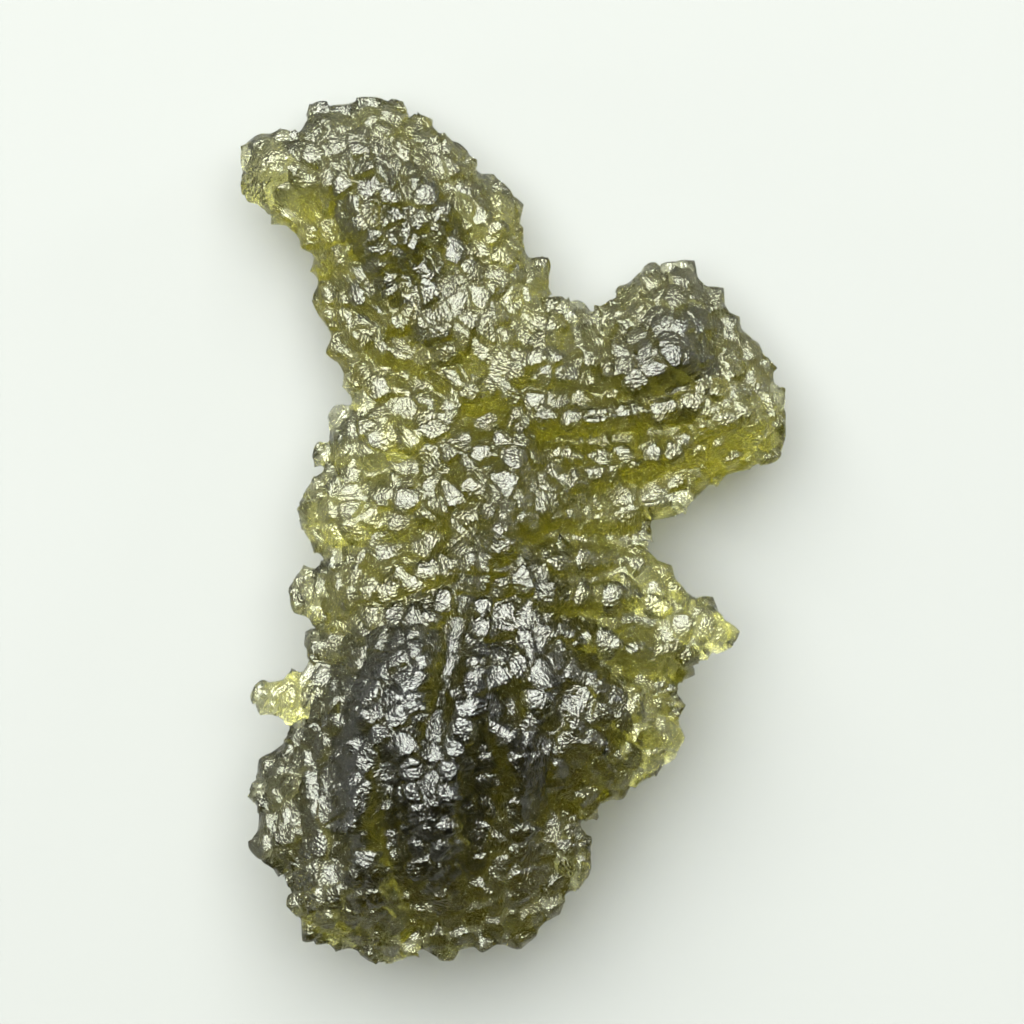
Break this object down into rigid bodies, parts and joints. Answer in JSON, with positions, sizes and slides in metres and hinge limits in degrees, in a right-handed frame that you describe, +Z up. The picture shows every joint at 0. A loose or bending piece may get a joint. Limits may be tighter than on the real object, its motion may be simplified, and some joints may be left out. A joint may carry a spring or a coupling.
{
  "type": "moldavite",
  "caption": "Loose natural green glass stone with a thick foot, a narrow hub, two arms and a spur, its skin etched into furrows, pits and crests, lying on its back.",
  "frame": {"origin": "middle of the stone's box, on the surface it lies on", "axes": "+X towards the right arm, +Y along the stone from the foot to the arms, +Z up out of the face"},
  "size_m": [0.0152, 0.0242, 0.0075],
  "materials": {
    "green_glass": "glossy etched natural glass"
  },
  "bodies": {
    "root": {"moldavite": "green_glass"}
  },
  "joints": []
}
